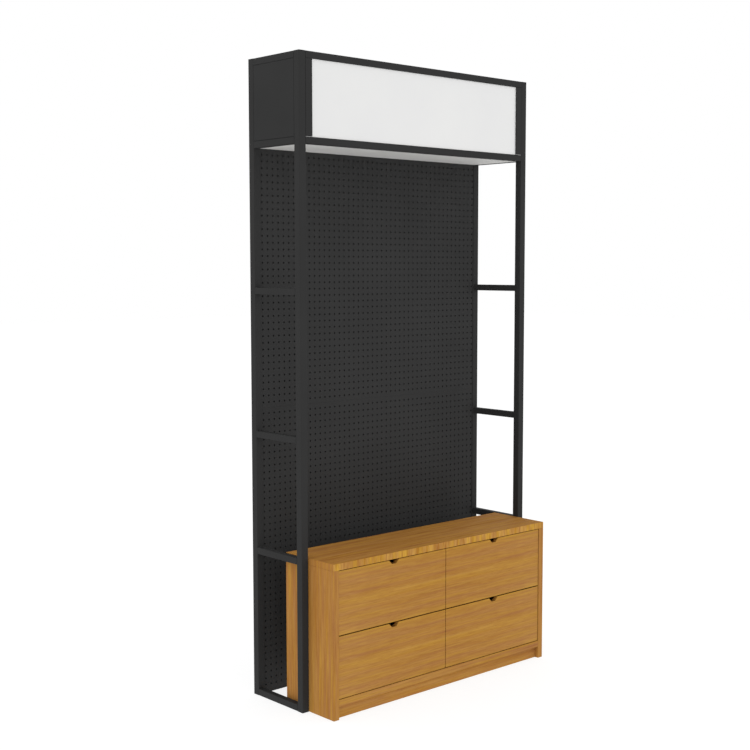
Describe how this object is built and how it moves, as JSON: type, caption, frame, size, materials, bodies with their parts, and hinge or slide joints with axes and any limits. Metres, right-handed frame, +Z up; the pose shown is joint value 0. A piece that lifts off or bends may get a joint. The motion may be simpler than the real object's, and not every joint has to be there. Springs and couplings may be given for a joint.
{
  "type": "shop display bay",
  "caption": "Free-standing shop display bay: black tube frame with perforated back, sign header with pale soffit, and a wood-veneered cabinet with drawers at its foot.",
  "frame": {"origin": "on the floor, in the middle of the footprint of frame and cabinet together", "axes": "+Z up, -Y the front that the drawers open to, +X to the right seen from the front"},
  "size_m": [1.2, 0.442, 2.395],
  "materials": {
    "frame_coat": "satin black powder coat",
    "pegboard_coat": "matt black powder coat",
    "sign_acrylic": "white acrylic sheet, bare",
    "soffit_white": "matt white panel",
    "veneer": "satin teak-coloured veneer on board",
    "plywood": "clear-sealed birch plywood",
    "hardboard": "smooth brown hardboard",
    "hardwood": "waxed beech"
  },
  "bodies": {
    "frame": {"front_left_post": "frame_coat", "front_right_post": "frame_coat", "rear_left_post": "frame_coat", "rear_right_post": "frame_coat", "left_floor_rail": "frame_coat", "right_floor_rail": "frame_coat", "left_cabinet_rail": "frame_coat", "right_cabinet_rail": "frame_coat", "left_lower_rail": "frame_coat", "right_lower_rail": "frame_coat", "left_upper_rail": "frame_coat", "right_upper_rail": "frame_coat", "left_header_bottom_rail": "frame_coat", "right_header_bottom_rail": "frame_coat", "left_header_top_rail": "frame_coat", "right_header_top_rail": "frame_coat", "front_header_bottom_rail": "frame_coat", "front_header_top_rail": "frame_coat", "rear_floor_rail": "frame_coat", "rear_middle_rail": "frame_coat", "rear_header_bottom_rail": "frame_coat", "rear_header_top_rail": "frame_coat", "lower_pegboard": "pegboard_coat", "upper_pegboard": "pegboard_coat", "sign_panel": "sign_acrylic", "left_sign_stile": "frame_coat", "left_header_panel": "frame_coat", "right_sign_stile": "frame_coat", "right_header_panel": "frame_coat", "header_soffit": "soffit_white", "header_top_panel": "frame_coat", "cabinet_left_side": "veneer", "cabinet_right_side": "veneer", "cabinet_top": "veneer", "cabinet_bottom": "veneer", "cabinet_plinth": "veneer", "cabinet_partition": "veneer", "cabinet_back": "hardboard", "lower_left_drawer_left_runner": "hardwood", "lower_left_drawer_right_runner": "hardwood", "lower_right_drawer_left_runner": "hardwood", "lower_right_drawer_right_runner": "hardwood", "upper_left_drawer_left_runner": "hardwood", "upper_left_drawer_right_runner": "hardwood", "upper_right_drawer_left_runner": "hardwood", "upper_right_drawer_right_runner": "hardwood", "lower_back_sheet": "frame_coat", "upper_back_sheet": "frame_coat"},
    "lower_left_drawer": {"lower_left_drawer_front": "veneer", "lower_left_drawer_box": "plywood", "lower_left_drawer_bottom": "hardboard"},
    "lower_right_drawer": {"lower_right_drawer_front": "veneer", "lower_right_drawer_box": "plywood", "lower_right_drawer_bottom": "hardboard"},
    "upper_left_drawer": {"upper_left_drawer_front": "veneer", "upper_left_drawer_box": "plywood", "upper_left_drawer_bottom": "hardboard"},
    "upper_right_drawer": {"upper_right_drawer_front": "veneer", "upper_right_drawer_box": "plywood", "upper_right_drawer_bottom": "hardboard"}
  },
  "joints": [
    {"name": "lower_left_drawer_slide", "type": "slide", "parent": "frame", "child": "lower_left_drawer", "axis": [0, -1, 0], "range_m": [0, 0.17]},
    {"name": "lower_right_drawer_slide", "type": "slide", "parent": "frame", "child": "lower_right_drawer", "axis": [0, -1, 0], "range_m": [0, 0.17]},
    {"name": "upper_left_drawer_slide", "type": "slide", "parent": "frame", "child": "upper_left_drawer", "axis": [0, -1, 0], "range_m": [0, 0.17]},
    {"name": "upper_right_drawer_slide", "type": "slide", "parent": "frame", "child": "upper_right_drawer", "axis": [0, -1, 0], "range_m": [0, 0.17]}
  ]
}
